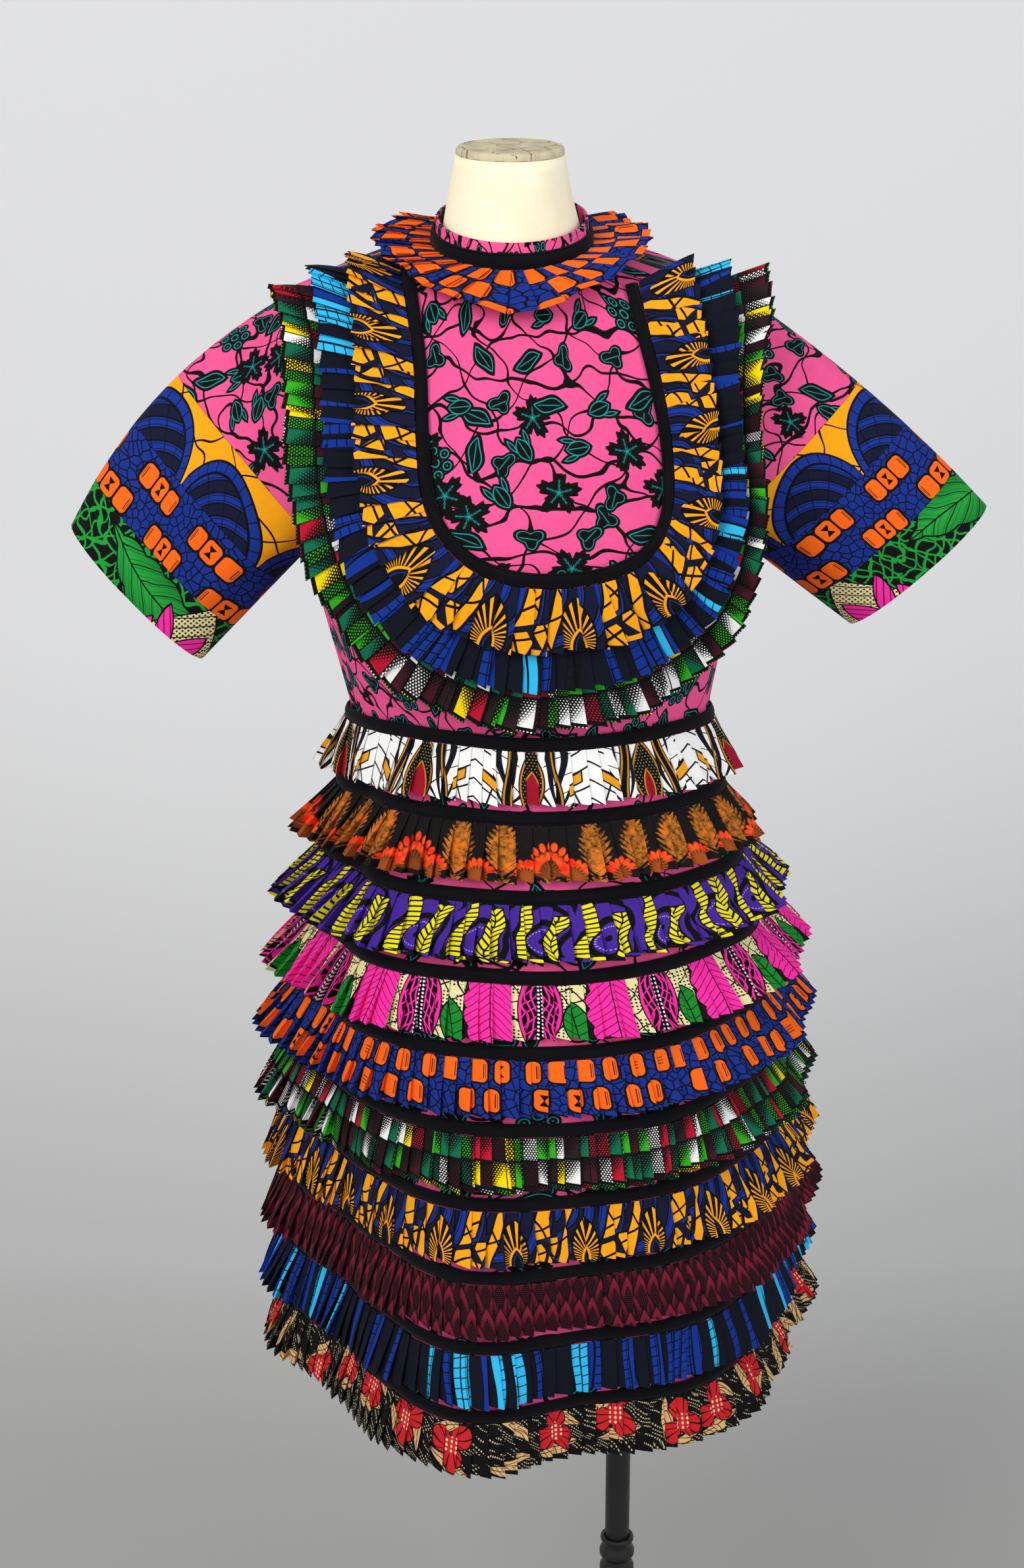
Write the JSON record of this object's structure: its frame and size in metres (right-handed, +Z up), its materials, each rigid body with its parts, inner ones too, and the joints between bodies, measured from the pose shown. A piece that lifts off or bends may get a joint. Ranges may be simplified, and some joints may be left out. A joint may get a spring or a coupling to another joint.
{
  "type": "wax print dress on a dress form with stand",
  "caption": "Knee-length wax-print dress with pleated ruffle tiers, a ruffled bib and short banded sleeves, on a limbless dress form with its pole stand.",
  "frame": {"origin": "centre of the foot's underside, on the pole's axis, on the floor", "axes": "+Z up along the pole, -Y the way the dress faces, +X to the viewer's right"},
  "size_m": [0.771, 0.4485, 1.5337],
  "materials": {
    "pink_print": "matt printed cotton, pink with black vines and leaves",
    "velvet": "black velvet ribbon",
    "tablet_print": "matt printed cotton, blue crackle with orange tablets",
    "swirl_print": "matt printed cotton, blue swirls with orange and yellow fans",
    "stripe_print": "matt printed cotton, navy, royal blue and cyan stripes",
    "brick_print": "matt printed cotton, bricks of green, white, yellow and crimson",
    "veined_print": "matt printed cotton, white with black veins and crimson leaves",
    "ember_print": "matt printed cotton, black with orange and brown fans",
    "comb_print": "matt printed cotton, purple with yellow combs",
    "petal_print": "matt printed cotton, pink leaves with black, cream and green",
    "scale_print": "matt printed cotton, dark maroon with crimson scales",
    "flower_print": "matt printed cotton, black with red petals and cream dots",
    "leaf_print": "matt printed cotton, green leaves on black",
    "form_cover": "cream cotton jersey over a smooth dress form",
    "stand_enamel": "satin black enamel"
  },
  "bodies": {
    "root": {"bib_ribbon": "velvet", "bib_ruffle_inner": "swirl_print", "bib_ruffle_middle": "stripe_print", "bib_ruffle_outer": "brick_print", "bodice_back": "pink_print", "bodice_front": "pink_print", "collar": "pink_print", "collar_ribbon": "velvet", "form_neck_cap": "form_cover", "form_torso": "form_cover", "neck_ruffle": "tablet_print", "skirt_back": "pink_print", "skirt_front": "pink_print", "sleeve_left_cap": "pink_print", "sleeve_left_cuff_band": "leaf_print", "sleeve_left_middle_band": "tablet_print", "sleeve_left_upper_band": "swirl_print", "sleeve_right_cap": "pink_print", "sleeve_right_cuff_band": "leaf_print", "sleeve_right_middle_band": "tablet_print", "sleeve_right_upper_band": "swirl_print", "stand_foot": "stand_enamel", "stand_height_nut": "stand_enamel", "stand_pole": "stand_enamel", "stand_tube": "stand_enamel", "tier_01_ribbon": "velvet", "tier_01_ruffle": "veined_print", "tier_02_ribbon": "velvet", "tier_02_ruffle": "ember_print", "tier_03_ribbon": "velvet", "tier_03_ruffle": "comb_print", "tier_04_ribbon": "velvet", "tier_04_ruffle": "petal_print", "tier_05_ribbon": "velvet", "tier_05_ruffle": "tablet_print", "tier_06_ribbon": "velvet", "tier_06_ruffle": "brick_print", "tier_07_ribbon": "velvet", "tier_07_ruffle": "swirl_print", "tier_08_ribbon": "velvet", "tier_08_ruffle": "scale_print", "tier_09_ribbon": "velvet", "tier_09_ruffle": "stripe_print", "tier_10_ribbon": "velvet", "tier_10_ruffle": "flower_print"}
  },
  "joints": []
}
